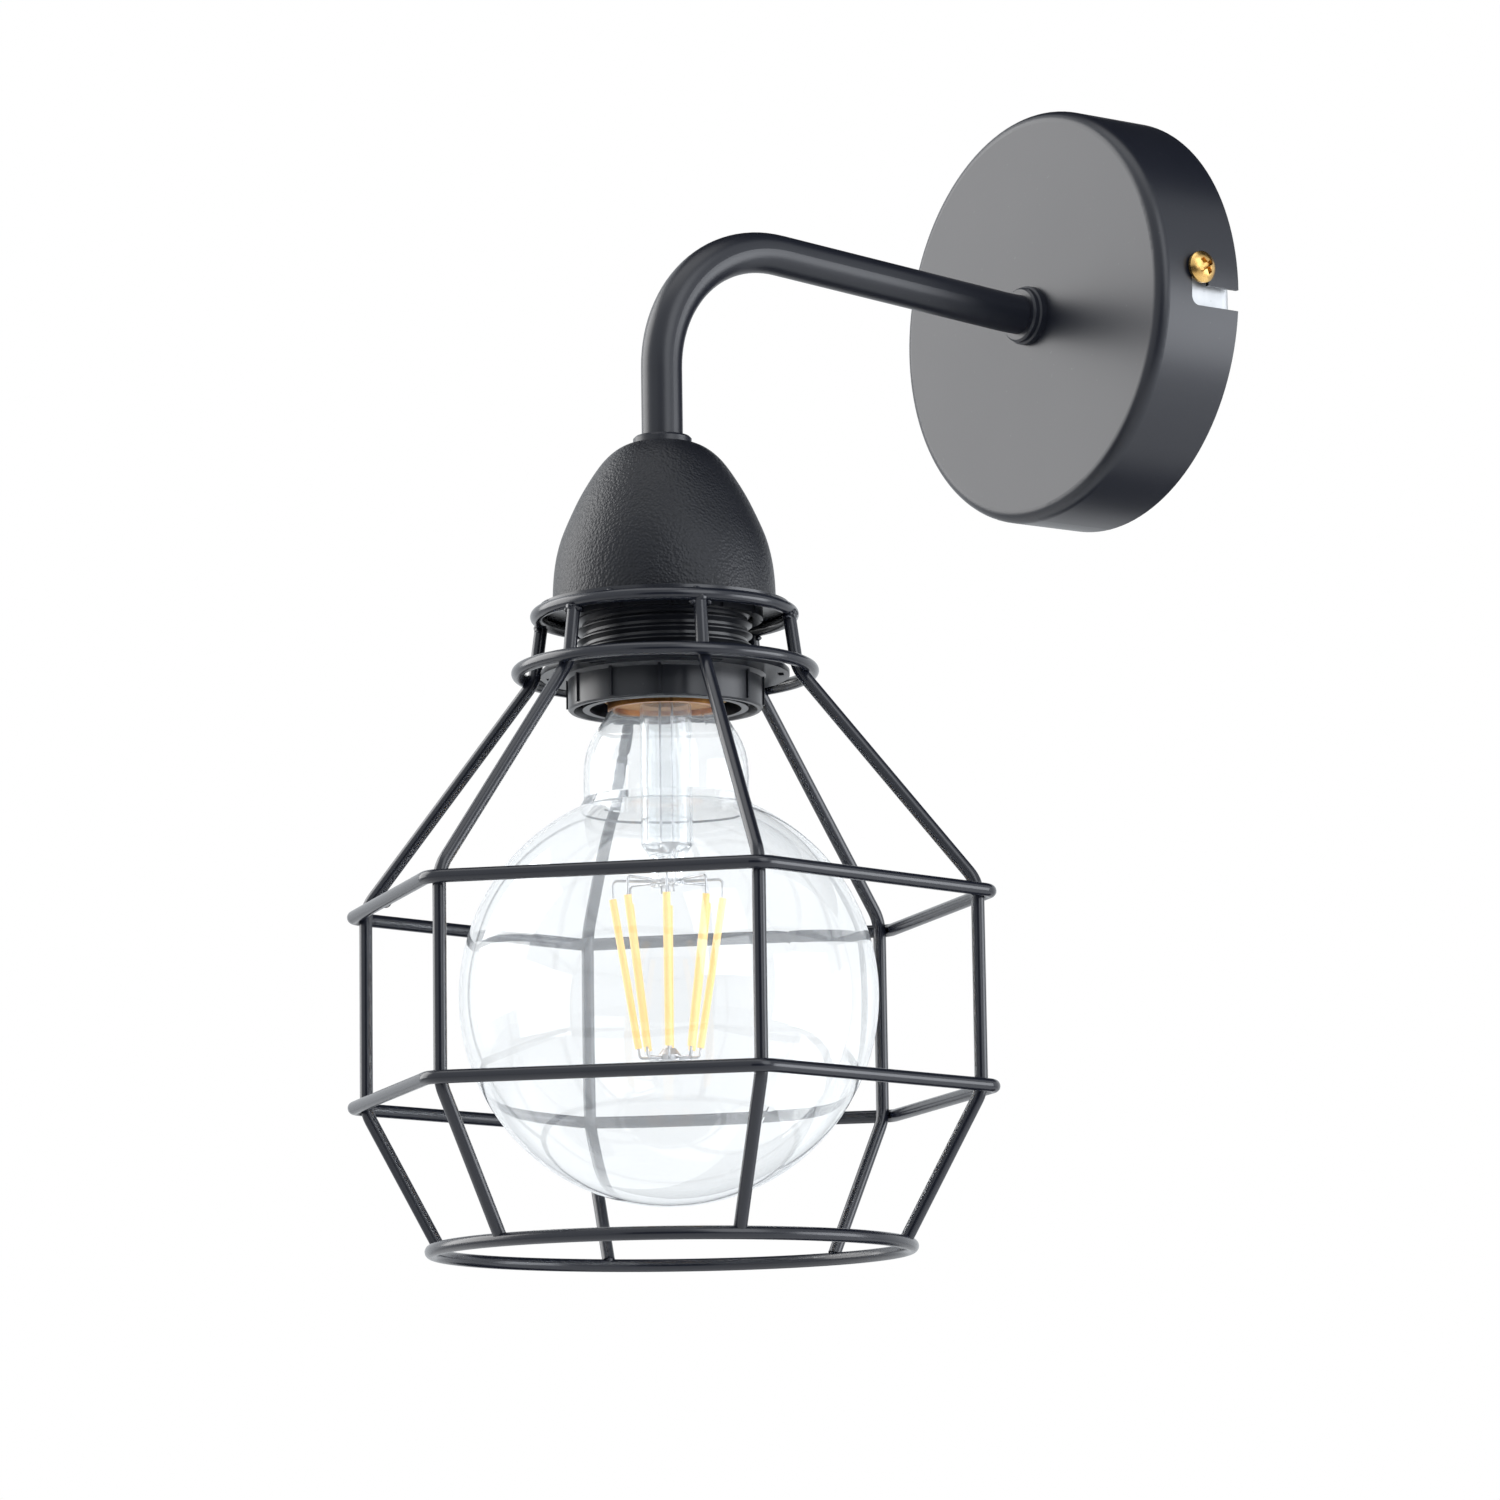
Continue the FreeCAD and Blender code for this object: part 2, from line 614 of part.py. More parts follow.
def make_screw_rings():
    clamp_top = plate_bottom - part_gap
    clamp_bottom = clamp_top - clamp_ring_thickness
    clamp = turned([(ring_bore, clamp_top), (clamp_ring_radius, clamp_top),
                    (clamp_ring_radius, clamp_bottom), (ring_bore, clamp_bottom)])
    for i in range(skirt_rib_count):
        start = at_angle(clamp_ring_radius, 360.0 / skirt_rib_count * i, clamp_top + 1)
        clamp = clamp.cut(Part.makeCylinder(0.6, clamp_ring_thickness + 2, start, down))
    save(clamp, "clamp_ring")
    flange_bottom = skirt_top - skirt_flange_thickness
    ring = turned([(ring_bore, skirt_top), (skirt_flange_radius - 0.6, skirt_top),
                   (skirt_flange_radius, skirt_top - 0.6), (skirt_flange_radius, flange_bottom),
                   (skirt_radius + 0.8, flange_bottom), (skirt_radius, flange_bottom - 0.8),
                   (skirt_radius, skirt_bottom + 0.4), (skirt_radius - 0.4, skirt_bottom),
                   (ring_bore + 0.6, skirt_bottom), (ring_bore, skirt_bottom + 2)])
    for i in range(skirt_rib_count):
        angle = 360.0 / skirt_rib_count * i + skirt_rib_turn
        rib = Part.makeBox(0.7, skirt_rib + 1, flange_bottom - skirt_bottom - 0.8,
                           Vec(-0.35, skirt_radius - 1, skirt_bottom + 0.8))
        rib.rotate(Vec(0, 0, 0), Vec(0, 0, 1), angle)
        rib.translate(lamp_axis)
        ring = ring.fuse(rib)
    for i in range(rod_count):
        slot = Part.makeBox(4, 1.3, 3 * skirt_flange_thickness,
                            Vec(-2, skirt_flange_radius - 2.6, skirt_top - 2 * skirt_flange_thickness))
        slot.rotate(Vec(0, 0, 0), Vec(0, 0, 1), 360.0 / rod_count * i + 20)
        slot.translate(lamp_axis)
        ring = ring.cut(slot)
    save(ring, "skirt_ring")


def hoop(z):
    """Six-sided hoop of round wire with rounded corners, lying outside the rods."""
    rounding = hoop_corner_radius * (1 / math.cos(math.pi / rod_count) - 1)
    vertex = hoop_radius + 2 * wire_radius - weld_sink + rounding
    corners = [at_angle(vertex, rod_angle(i), z) for i in range(rod_count)]
    start = (corners[-1] + corners[0]) * 0.5
    path = bent_path([start] + corners + [start], [hoop_corner_radius] * rod_count)
    return round_bar(path, wire_radius)


def make_cage():
    plate = turned([(ring_bore, plate_top), (plate_radius, plate_top),
                    (plate_radius, plate_bottom), (ring_bore, plate_bottom)])
    save(plate, "cage_plate")
    for node, radius, z in (("top_ring", top_ring_radius, top_ring_z + weld_sink),
                            ("collar_ring", rod_neck_radius + 2 * wire_radius - weld_sink, collar_ring_z),
                            ("bottom_ring", bottom_ring_radius, bottom_ring_z)):
        save(Part.makeTorus(radius, wire_radius, lamp_axis + Vec(0, 0, z)), node)
    rod_top = top_ring_z - wire_radius + 2 * weld_sink
    rod_end = bottom_ring_z + wire_radius - weld_sink
    for i in range(rod_count):
        angle = rod_angle(i)
        points = [at_angle(top_ring_radius, angle, rod_top), at_angle(rod_neck_radius, angle, rod_neck_z),
                  at_angle(hoop_radius, angle, shoulder_z), at_angle(hoop_radius, angle, belly_z),
                  at_angle(bottom_ring_radius, angle, rod_end)]
        bend = rod_bend_radius
        save(round_bar(bent_path(points, [bend, bend, bend]), wire_radius), "cage_rod_" + str(i + 1))
    save(hoop(upper_hoop_z), "upper_hoop")
    save(hoop(lower_hoop_z), "lower_hoop")


def neck_outline():
    """(radius, share of the neck's height) from the cap down to the crease over the globe."""
    return [(cap_radius - 0.2, 0.0), (cap_radius + 0.9, 0.09), (neck_radius * 0.88, 0.281),
            (neck_radius * 0.975, 0.506), (neck_radius, 0.703), (neck_radius, 1.0)]


def make_glass():
    start = cap_bottom - part_gap
    crease = globe_z + math.sqrt(globe_radius ** 2 - neck_radius ** 2) + crease_height
    globe_start = neck_radius + crease_width
    outlines = []
    for inset in (0, glass_wall):
        low = crease - inset * 0.6
        neck_points = [Vec(r - inset, 0, start - (start - low) * share) for r, share in neck_outline()]
        neck_curve = Part.BSplineCurve()
        neck_curve.interpolate(neck_points)
        ball = globe_radius - inset
        opening = math.asin((globe_start - inset * 0.4) / ball)
        dots = []
        for angle in (opening, (opening + math.pi) / 2, math.pi):
            dots.append(Vec(ball * math.sin(angle), 0, globe_z + ball * math.cos(angle)))
        dots[-1].x = 0
        arc = Part.Arc(dots[0], dots[1], dots[2]).toShape()
        outlines.append((neck_points, neck_curve.toShape(), Part.makeLine(neck_points[-1], dots[0]), arc, dots))
    outer, inner = outlines
    edges = [outer[1], outer[2], outer[3], Part.makeLine(outer[4][2], inner[4][2]),
             inner[3], inner[2], inner[1], Part.makeLine(inner[0][0], outer[0][0])]
    face = Part.Face(Part.Wire(Part.__sortEdges__(edges)))
    solid = face.revolve(Vec(0, 0, 0), Vec(0, 0, 1), 360)
    solid.translate(lamp_axis)
    save(solid, "bulb_glass")


def make_bulb_base():
    inner = cap_radius - cap_wall
    neck = inner - cap_wall + 0.2
    lip = cap_thread_top + cap_thread_height
    points = [(inner, cap_bottom), (cap_radius, cap_bottom), (cap_radius, cap_thread_start - 1)]
    for i in range(cap_thread_turns):
        z = cap_thread_start + cap_thread_pitch * i
        points.append((cap_radius - cap_thread_height, z))
        points.append((cap_radius, z + cap_thread_pitch * 0.42))
        points.append((cap_radius, z + cap_thread_pitch * 0.58))
    points.append((cap_radius - cap_thread_height, cap_thread_top))
    points.append((neck + cap_thread_height, lip))
    points.append((neck, lip))
    points.append((neck, cap_thread_top - 1))
    points.append((inner, cap_thread_top - 1))
    save(turned(points), "bulb_cap")
    tip_base = bulb_tip - tip_height
    insulator = turned([(0, cap_thread_top), (neck, cap_thread_top), (neck, lip),
                        (insulator_radius, tip_base - 0.1), (insulator_radius, tip_base), (0, tip_base)])
    save(insulator, "bulb_insulator")
    tip = turned([(0, tip_base), (tip_radius, tip_base), (tip_radius * 0.96, tip_base + tip_height / 2),
                  (tip_radius * 0.63, bulb_tip - 0.1), (0, bulb_tip)])
    save(tip, "bulb_tip")
    board_top = board_z + board_thickness
    board = turned([(0, board_z), (board_radius, board_z), (board_radius, board_top), (0, board_top)])
    side = board_radius * 0.8
    chip = Part.makeBox(side, side * 0.75, side / 2, lamp_axis + Vec(-side / 2, -side * 0.375, board_top))
    post_radius = board_radius * 0.55
    post = turned([(post_radius - 0.8, cap_thread_top), (post_radius, cap_thread_top), (post_radius, board_top),
                   (post_radius - 0.8, board_top)])
    save(board.fuse([chip, post]), "driver_board")
    cement_top = cement_z + cement_depth
    filler = turned([(stem_radius, cement_z), (inner, cement_z), (inner, cement_top),
                     (stem_radius, cement_top)])
    save(filler, "cap_cement")


def make_stem():
    top = cement_z + cement_depth
    wall = stem_radius - stem_wall
    pinch_bottom = stem_bottom - pinch_length
    crown = stem_bottom - pinch_length + pinch_height
    tube = turned([(wall, top), (stem_radius, top), (stem_radius, stem_bottom), (wall * 0.8, crown - stem_wall),
                   (0, crown - 2 * stem_wall), (0, crown + stem_wall / 2), (wall, stem_bottom)])
    lower = Part.makeCylinder(pinch_thickness * 0.53, pinch_height - 0.5, lamp_axis + Vec(0, 0, crown), down)
    stem = tube.fuse(lower)
    width = stem_radius * 1.5
    corner = Vec(-width / 2, -pinch_thickness / 2, pinch_bottom)
    press = Part.makeBox(width, pinch_thickness, pinch_height, lamp_axis + corner)
    stem = stem.fuse(press)
    save(stem, "stem_tube")
    leads = []
    lead_bottom = pinch_bottom - pinch_thickness / 2
    for side in (-1, 1):
        base = lamp_axis + Vec(side * lead_spread, 0, board_z)
        leads.append(Part.makeCylinder(lead_radius, board_z - lead_bottom, base, down))
    save(Part.makeCompound(leads), "lead_wires")
    rod_top = lamp_axis + Vec(0, 0, pinch_bottom)
    rod = Part.makeCylinder(rod_radius, pinch_bottom - filament_bottom, rod_top, down)
    save(rod, "centre_rod")


def make_filaments():
    step = 360.0 / filament_count
    spokes = []
    lower_spokes = []
    hub_z = stem_bottom - pinch_length + hub_thickness
    knee_z = filament_bottom - 2.6 * filament_radius
    for i in range(filament_count):
        angle = step * i + filament_turn
        high = at_angle(filament_top_radius, angle, filament_top)
        low = at_angle(filament_bottom_radius, angle, filament_bottom)
        along = (low - high).normalize()
        strip = Part.makeCylinder(filament_radius, (low - high).Length, high, along)
        save(strip, "led_filament_" + str(i + 1))
        hub = at_angle(stem_radius * 0.35, angle, hub_z)
        elbow = at_angle(filament_top_radius, angle, hub_z + lead_radius)
        upper = bent_path([hub, elbow, high + along * filament_cap], [1.0])
        spokes.append(round_bar(upper, lead_radius))
        inner = at_angle(hub_radius * 0.6, angle, knee_z)
        corner = at_angle(filament_bottom_radius - lead_radius, angle, knee_z)
        lower = bent_path([low - along * filament_cap, corner, inner], [0.8])
        lower_spokes.append(round_bar(lower, lead_radius))
    high = hub_z + hub_thickness / 2
    low = hub_z - hub_thickness / 2
    hub = turned([(0, high), (hub_radius, high), (hub_radius, low), (0, low)])
    save(hub.fuse(spokes), "top_spider")
    neck = hub_radius * 0.55
    waist = knee_z + filament_cap
    foot = knee_z - filament_cap
    base = foot - 2 * filament_cap
    button = turned([(0, filament_bottom), (neck, filament_bottom), (hub_radius, waist), (hub_radius, foot),
                     (neck, base), (0, base)])
    save(button.fuse(lower_spokes), "bottom_button")


make_bracket()
make_canopy_screws()
make_terminal_block()
make_earth_screw()
make_canopy()
make_arm()
make_cover()
make_holder()
make_supply_wires()
make_screw_rings()
make_cage()
make_glass()
make_bulb_base()
make_stem()
make_filaments()
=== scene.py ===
import json
import math

import bmesh
import bpy
from mathutils import Matrix, Vector


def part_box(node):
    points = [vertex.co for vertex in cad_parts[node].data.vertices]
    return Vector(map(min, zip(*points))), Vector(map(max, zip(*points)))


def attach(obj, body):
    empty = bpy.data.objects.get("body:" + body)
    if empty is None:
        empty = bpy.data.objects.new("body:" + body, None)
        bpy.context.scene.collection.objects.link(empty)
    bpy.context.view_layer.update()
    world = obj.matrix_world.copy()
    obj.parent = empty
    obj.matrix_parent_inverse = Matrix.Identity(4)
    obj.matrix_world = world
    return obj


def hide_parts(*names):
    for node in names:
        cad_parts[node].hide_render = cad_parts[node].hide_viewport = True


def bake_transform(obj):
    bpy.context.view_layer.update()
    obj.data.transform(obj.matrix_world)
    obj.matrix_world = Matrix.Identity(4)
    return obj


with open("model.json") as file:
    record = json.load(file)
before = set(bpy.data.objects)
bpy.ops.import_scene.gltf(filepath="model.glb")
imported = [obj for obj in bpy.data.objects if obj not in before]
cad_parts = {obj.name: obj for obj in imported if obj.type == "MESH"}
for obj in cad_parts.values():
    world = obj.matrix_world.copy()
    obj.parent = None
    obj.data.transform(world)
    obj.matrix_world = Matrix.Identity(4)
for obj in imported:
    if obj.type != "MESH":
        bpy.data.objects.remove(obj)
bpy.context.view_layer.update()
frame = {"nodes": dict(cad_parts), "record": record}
nodes = frame["nodes"]
scene = bpy.context.scene
print("frame loaded")


class Maths:  # numbers flowing through a node tree, written as ordinary sums
    def __init__(self, tree, socket):
        self.tree = tree
        self.socket = socket

    def node(self, kind, settings=None, inputs=None, out=0):
        made = self.tree.nodes.new(kind)
        for key, value in (settings or {}).items():
            setattr(made, key, value)
        for key, value in (inputs or {}).items():
            if isinstance(value, Maths):
                self.tree.links.new(value.socket, made.inputs[key])
            else:
                made.inputs[key].default_value = value
        return Maths(self.tree, made.outputs[out])

    def sum(self, operation, other=0.0):
        return self.node("ShaderNodeMath", {"operation": operation}, {0: self, 1: other})

    def __add__(self, other):
        return self.sum("ADD", other)

    __radd__ = __add__

    def __sub__(self, other):
        return self.sum("SUBTRACT", other)

    def __rsub__(self, other):
        return self * -1.0 + other

    def __mul__(self, other):
        return self.sum("MULTIPLY", other)

    __rmul__ = __mul__

    def between(self, low, high):
        return self.node("ShaderNodeMapRange", {"clamp": True}, {0: self, 1: low, 2: high})


def newMaterial(name):
    material = bpy.data.materials.new(name)
    material.use_nodes = True
    tree = material.node_tree
    place = tree.nodes.new("ShaderNodeTexCoord")
    return material, tree.nodes["Principled BSDF"], Maths(tree, place.outputs["Object"])


def noise(place, scale, detail=4.0, rough=0.55):
    return place.node("ShaderNodeTexNoise", None,
                      {"Vector": place, "Scale": scale, "Detail": detail, "Roughness": rough})


def mixed(factor, under, over):
    return factor.node("ShaderNodeMix", {"data_type": "RGBA"}, {0: factor, 6: under, 7: over}, 2)


def colourBetween(factor, dark, light):
    return mixed(factor, dark + (1,), light + (1,))


def linkTo(shader, name, value):
    value.tree.links.new(value.socket, shader.inputs[name])


def bumpFrom(height, strength, distance):
    return height.node("ShaderNodeBump", None, {"Height": height, "Strength": strength, "Distance": distance})


dust = {"scale": 900.0, "low": 0.70, "high": 0.78, "tone": (0.35, 0.35, 0.36)}


def coated(name, look):  # paint or plastic: a slow change of tone, a fine grain and a little dust
    material, shader, place = newMaterial(name)
    slow = noise(place, look["patch"], 3.0)
    fine = noise(place, look["grain"], 3.0, 0.6)
    speck = noise(place, dust["scale"], 2.0).between(dust["low"], dust["high"]) * look["dust"]
    tone = colourBetween(slow, look["dark"], look["light"])
    dusty = colourBetween(speck, look["dark"], dust["tone"])
    linkTo(shader, "Base Color", mixed(speck, tone, dusty))
    linkTo(shader, "Roughness", slow * look["spread"] + (look["rough"] - look["spread"] / 2))
    linkTo(shader, "Normal", bumpFrom(fine, look["bump"], look["depth"]))
    shader.inputs["Specular IOR Level"].default_value = look["shine"]
    return material


satinLook = {"patch": 22.0, "grain": 1500.0, "bump": 0.14, "depth": 0.00005, "dust": 0.22,
             "dark": (0.0060, 0.0072, 0.0125), "light": (0.0080, 0.0094, 0.0150),
             "rough": 0.34, "spread": 0.08, "shine": 0.46}
cageLook = {"patch": 30.0, "grain": 1500.0, "bump": 0.02, "depth": 0.00003, "dust": 0.04,
            "dark": (0.0065, 0.0078, 0.0135), "light": (0.0090, 0.0105, 0.0165),
            "rough": 0.22, "spread": 0.08, "shine": 0.50}
plasticLook = {"patch": 40.0, "grain": 900.0, "bump": 0.08, "depth": 0.00004, "dust": 0.2,
               "dark": (0.0080, 0.0090, 0.0125), "light": (0.0115, 0.0128, 0.0165),
               "rough": 0.30, "spread": 0.10, "shine": 0.42}
whitePlasticLook = {"patch": 40.0, "grain": 700.0, "bump": 0.1, "depth": 0.00005, "dust": 0.0,
                    "dark": (0.62, 0.62, 0.58), "light": (0.74, 0.74, 0.70),
                    "rough": 0.5, "spread": 0.1, "shine": 0.4}
ceramicLook = {"patch": 40.0, "grain": 1200.0, "bump": 0.4, "depth": 0.00008, "dust": 0.4,
               "dark": (0.66, 0.64, 0.57), "light": (0.78, 0.76, 0.70),
               "rough": 0.75, "spread": 0.1, "shine": 0.3}
cementLook = {"patch": 150.0, "grain": 900.0, "bump": 0.6, "depth": 0.0002, "dust": 0.2,
              "dark": (0.30, 0.13, 0.045), "light": (0.62, 0.33, 0.12),
              "rough": 0.6, "spread": 0.2, "shine": 0.4}
coatedLooks = {
    "satin_black_coat": satinLook,
    "cage_black_coat": cageLook,
    "holder_plastic": plasticLook,
    "bush_plastic": plasticLook,
    "insulator_black": plasticLook,
    "terminal_plastic": whitePlasticLook,
    "board_white": whitePlasticLook,
    "carrier_ceramic": ceramicLook,
    "cement_tan": cementLook,
}

wear = {"patchLow": 0.3, "patchHigh": 0.7, "patchRough": 0.1, "markScale": 1400.0, "markRough": 0.14,
        "markBump": 0.25, "markDepth": 0.00004, "evenRough": 0.12,
        "spotScale": 500.0, "spotLow": 0.62, "spotHigh": 0.7, "spotShare": 0.35}


def metal(name, look):  # bare or plated metal: patches, fine drawn marks and small stains
    material, shader, place = newMaterial(name)
    patch = noise(place, look["patch"])
    drawn = place.node("ShaderNodeMapping", None, {"Vector": place, "Scale": look["stretch"]})
    marks = noise(drawn, wear["markScale"], 3.0)
    spots = noise(place, wear["spotScale"], 2.0).between(wear["spotLow"], wear["spotHigh"])
    tone = colourBetween(patch.between(wear["patchLow"], wear["patchHigh"]), look["dark"], look["light"])
    linkTo(shader, "Base Color", mixed(spots * wear["spotShare"], tone, look["stain"] + (1,)))
    rough = marks * wear["markRough"] + patch * wear["patchRough"]
    linkTo(shader, "Roughness", rough + (look["rough"] - wear["evenRough"]))
    linkTo(shader, "Normal", bumpFrom(marks, wear["markBump"], wear["markDepth"]))
    shader.inputs["Metallic"].default_value = 1.0
    return material


steelLook = {"patch": 60.0, "stretch": (1.0, 1.0, 0.05), "rough": 0.5,
             "dark": (0.28, 0.29, 0.30), "light": (0.50, 0.51, 0.52), "stain": (0.16, 0.17, 0.18)}
brightLook = {"patch": 80.0, "stretch": (1.0, 0.2, 1.0), "rough": 0.28,
              "dark": (0.55, 0.56, 0.58), "light": (0.70, 0.71, 0.72), "stain": (0.4, 0.4, 0.4)}
goldLook = {"patch": 220.0, "stretch": (0.3, 1.0, 1.0), "rough": 0.27,
            "dark": (0.46, 0.25, 0.07), "light": (0.74, 0.49, 0.18), "stain": (0.24, 0.12, 0.035)}
capLook = {"patch": 170.0, "stretch": (1.0, 1.0, 0.1), "rough": 0.34,
           "dark": (0.34, 0.13, 0.035), "light": (0.74, 0.38, 0.13), "stain": (0.15, 0.05, 0.02)}
leadLook = {"patch": 300.0, "stretch": (1.0, 1.0, 0.2), "rough": 0.32,
            "dark": (0.36, 0.36, 0.37), "light": (0.56, 0.56, 0.57), "stain": (0.2, 0.2, 0.2)}
metalLooks = {
    "galvanised_steel": steelLook,
    "zinc_steel": brightLook,
    "tip_solder": brightLook,
    "screw_brass": goldLook,
    "terminal_brass": goldLook,
    "cap_brass": capLook,
    "lead_nickel": leadLook,
}

wrinkle = {"wobbleScale": 900.0, "wobble": 0.0004, "pebbleScale": 1600.0, "smooth": 0.5, "pebbles": -0.9,
           "fineScale": 2600.0, "fine": 0.3, "broadScale": 1100.0, "broad": 0.45,
           "pebbleTopTone": (0.0080, 0.0092, 0.0135), "crest": (0.0035, 0.0042, 0.0065),
           "rough": 0.33, "spread": 0.15, "bump": 0.7, "depth": 0.00022, "shine": 0.30}


def wrinkled():  # the powder coat of the cover, a close field of soft pebbles, with painted shade darkening the hollows between them
    material, shader, place = newMaterial("wrinkle black coat")
    shift = noise(place, wrinkle["wobbleScale"], 2.0) * wrinkle["wobble"]
    wobble = place.node("ShaderNodeVectorMath", {"operation": "ADD"}, {0: place, 1: shift})
    pebbles = place.node("ShaderNodeTexVoronoi", {"feature": "SMOOTH_F1"},
                         {"Vector": wobble, "Scale": wrinkle["pebbleScale"], "Smoothness": wrinkle["smooth"]})
    fine = noise(place, wrinkle["fineScale"], 3.0)
    broad = noise(place, wrinkle["broadScale"], 2.0)
    height = pebbles * wrinkle["pebbles"] + fine * wrinkle["fine"] + broad * wrinkle["broad"]
    # painted shade: the colour darkens away from each pebble's top into the hollows between pebbles, where
    # the bump sinks
    linkTo(shader, "Base Color", colourBetween(pebbles, wrinkle["pebbleTopTone"], wrinkle["crest"]))
    linkTo(shader, "Roughness", pebbles * wrinkle["spread"] + wrinkle["rough"])
    linkTo(shader, "Normal", bumpFrom(height, wrinkle["bump"], wrinkle["depth"]))
    shader.inputs["Specular IOR Level"].default_value = wrinkle["shine"]
    return material


glass = {"tint": (0.985, 0.992, 0.995, 1), "ior": 1.5, "hazeScale": 60.0, "haze": 0.003,
         "waveScale": 38.0, "wave": 0.04, "waveDepth": 0.0004,
         "film": 0.06, "filmTint": (0.95, 0.97, 1.0, 1), "shadowTint": (0.97, 0.98, 0.985, 1)}


def clearGlass():  # shadow and diffuse rays go straight through, so the filaments stay lit
    material, shader, place = newMaterial("clear glass")
    tree = place.tree
    tree.nodes.remove(shader)
    haze = noise(place, glass["hazeScale"], 3.0) * glass["haze"]
    waves = bumpFrom(noise(place, glass["waveScale"], 2.0), glass["wave"], glass["waveDepth"])
    body = place.node("ShaderNodeBsdfGlass", None,
                      {"Color": glass["tint"], "Roughness": haze, "IOR": glass["ior"], "Normal": waves})
    film = place.node("ShaderNodeBsdfDiffuse", None, {"Color": glass["filmTint"]})
    filmed = place.node("ShaderNodeMixShader", None, {0: glass["film"], 1: body, 2: film})
    clear = place.node("ShaderNodeBsdfTransparent", None, {"Color": glass["shadowTint"]})
    path = tree.nodes.new("ShaderNodeLightPath")
    rays = [Maths(tree, path.outputs[name]) for name in ("Is Shadow Ray", "Is Diffuse Ray")]
    passing = rays[0].sum("MAXIMUM", rays[1])
    surface = place.node("ShaderNodeMixShader", None, {0: passing, 1: filmed, 2: clear})
    tree.links.new(surface.socket, tree.nodes["Material Output"].inputs["Surface"])
    return material


silicone = {"grainScale": 1800.0, "dark": (0.96, 0.56, 0.16), "light": (1.0, 0.68, 0.26),
            "glow": 0.35, "rough": 0.5, "bump": 0.3, "depth": 0.0001}


def phosphor():  # the yellow coat of the filaments; the glow stands in for light scattered inside it
    material, shader, place = newMaterial("phosphor yellow")
    grain = noise(place, silicone["grainScale"], 3.0)
    tone = colourBetween(grain, silicone["dark"], silicone["light"])
    linkTo(shader, "Base Color", tone)
    linkTo(shader, "Emission Color", tone)
    linkTo(shader, "Normal", bumpFrom(grain, silicone["bump"], silicone["depth"]))
    shader.inputs["Emission Strength"].default_value = silicone["glow"]
    shader.inputs["Roughness"].default_value = silicone["rough"]
    return material


sleeve = {"toneScale": 90.0, "stripeWaves": 1500.0, "stripeLow": 0.35, "stripeHigh": 0.45,
          "roughScale": 600.0, "rough": 0.38, "spread": 0.15,
          "grainScale": 1500.0, "bump": 0.15, "depth": 0.00005}
coreLooks = {
    "live": {"dark": (0.11, 0.04, 0.015), "light": (0.16, 0.06, 0.025),
             "second": (0.1, 0.04, 0.02), "stripe": 0.0},
    "neutral": {"dark": (0.02, 0.06, 0.28), "light": (0.03, 0.09, 0.36),
                "second": (0.0, 0.0, 0.1), "stripe": 0.0},
    "earth": {"dark": (0.05, 0.22, 0.03), "light": (0.07, 0.30, 0.05),
              "second": (0.75, 0.62, 0.03), "stripe": 1.0},
}


def insulation(name, look):  # only the earth wire shows its second colour, in stripes
    material, shader, place = newMaterial(name)
    across = place.node("ShaderNodeSeparateXYZ", None, {0: place})
    stripe = (across * sleeve["stripeWaves"]).sum("SINE").between(sleeve["stripeLow"], sleeve["stripeHigh"])
    base = colourBetween(noise(place, sleeve["toneScale"]), look["dark"], look["light"])
    linkTo(shader, "Base Color", mixed(stripe * look["stripe"], base, look["second"] + (1,)))
    linkTo(shader, "Roughness", noise(place, sleeve["roughScale"]) * sleeve["spread"] + sleeve["rough"])
    linkTo(shader, "Normal", bumpFrom(noise(place, sleeve["grainScale"]), sleeve["bump"], sleeve["depth"]))
    return material


materials = {}
for slot, look in coatedLooks.items():
    materials[slot] = coated(slot.replace("_", " "), look)
for slot, look in metalLooks.items():
    materials[slot] = metal(slot.replace("_", " "), look)
for core, look in coreLooks.items():
    materials[core + "_insulation"] = insulation(core + " insulation", look)
materials["wrinkle_black_coat"] = wrinkled()
materials["clear_glass"] = clearGlass()
materials["phosphor_yellow"] = phosphor()
for entry in frame["record"]["subparts"]:
    piece = nodes[entry["node"]]
    piece.data.materials.clear()
    piece.data.materials.append(materials[entry["material_slot"]])
print("materials on")

cage = {"turn": 11.2, "rods": 6}
lampAxis = Vector((0, -0.132, 0))


def around(radius, degrees, z):  # a point beside the lamp's upright axis
    angle = math.radians(degrees)
    return lampAxis + Vector((radius * math.cos(angle), radius * math.sin(angle), z))


def rodTurn(i):
    return -90 + cage["turn"] + 360 / cage["rods"] * i


def middleHeight(node):
    low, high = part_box(node)
    return (low[2] + high[2]) / 2


topWelds = {"radius": 0.0017, "seed": 3, "reach": 0.0294, "drop": 0.0013}
spatter = {"radius": 0.00075, "seed": 11, "turn": 3.4, "drop": 0.0019}
hoopWelds = {"radius": 0.00105, "seed": 5, "neckReach": 0.0323, "hoopReach": 0.0729,
             "footReach": 0.0541, "footLift": 0.0013}
plateTacks = {"radius": 0.0009, "seed": 8, "reach": 0.0287, "lift": 0.0013, "count": 9, "start": 20}
topSpots, spatterSpots, hoopSpots = [], [], []
topRing = middleHeight("top_ring")
for i in range(cage["rods"]):
    turn = rodTurn(i)
    topSpots.append(around(topWelds["reach"], turn, topRing - topWelds["drop"]))
    for side in (-1, 1):
        beside = turn + side * spatter["turn"]
        spatterSpots.append(around(topWelds["reach"], beside, topRing - spatter["drop"]))
    hoopSpots += [around(hoopWelds["neckReach"], turn, middleHeight("collar_ring")),
                  around(hoopWelds["hoopReach"], turn, middleHeight("upper_hoop")),
                  around(hoopWelds["hoopReach"], turn, middleHeight("lower_hoop")),
                  around(hoopWelds["footReach"], turn, middleHeight("bottom_ring") + hoopWelds["footLift"])]
tackTurn = 360 / plateTacks["count"]
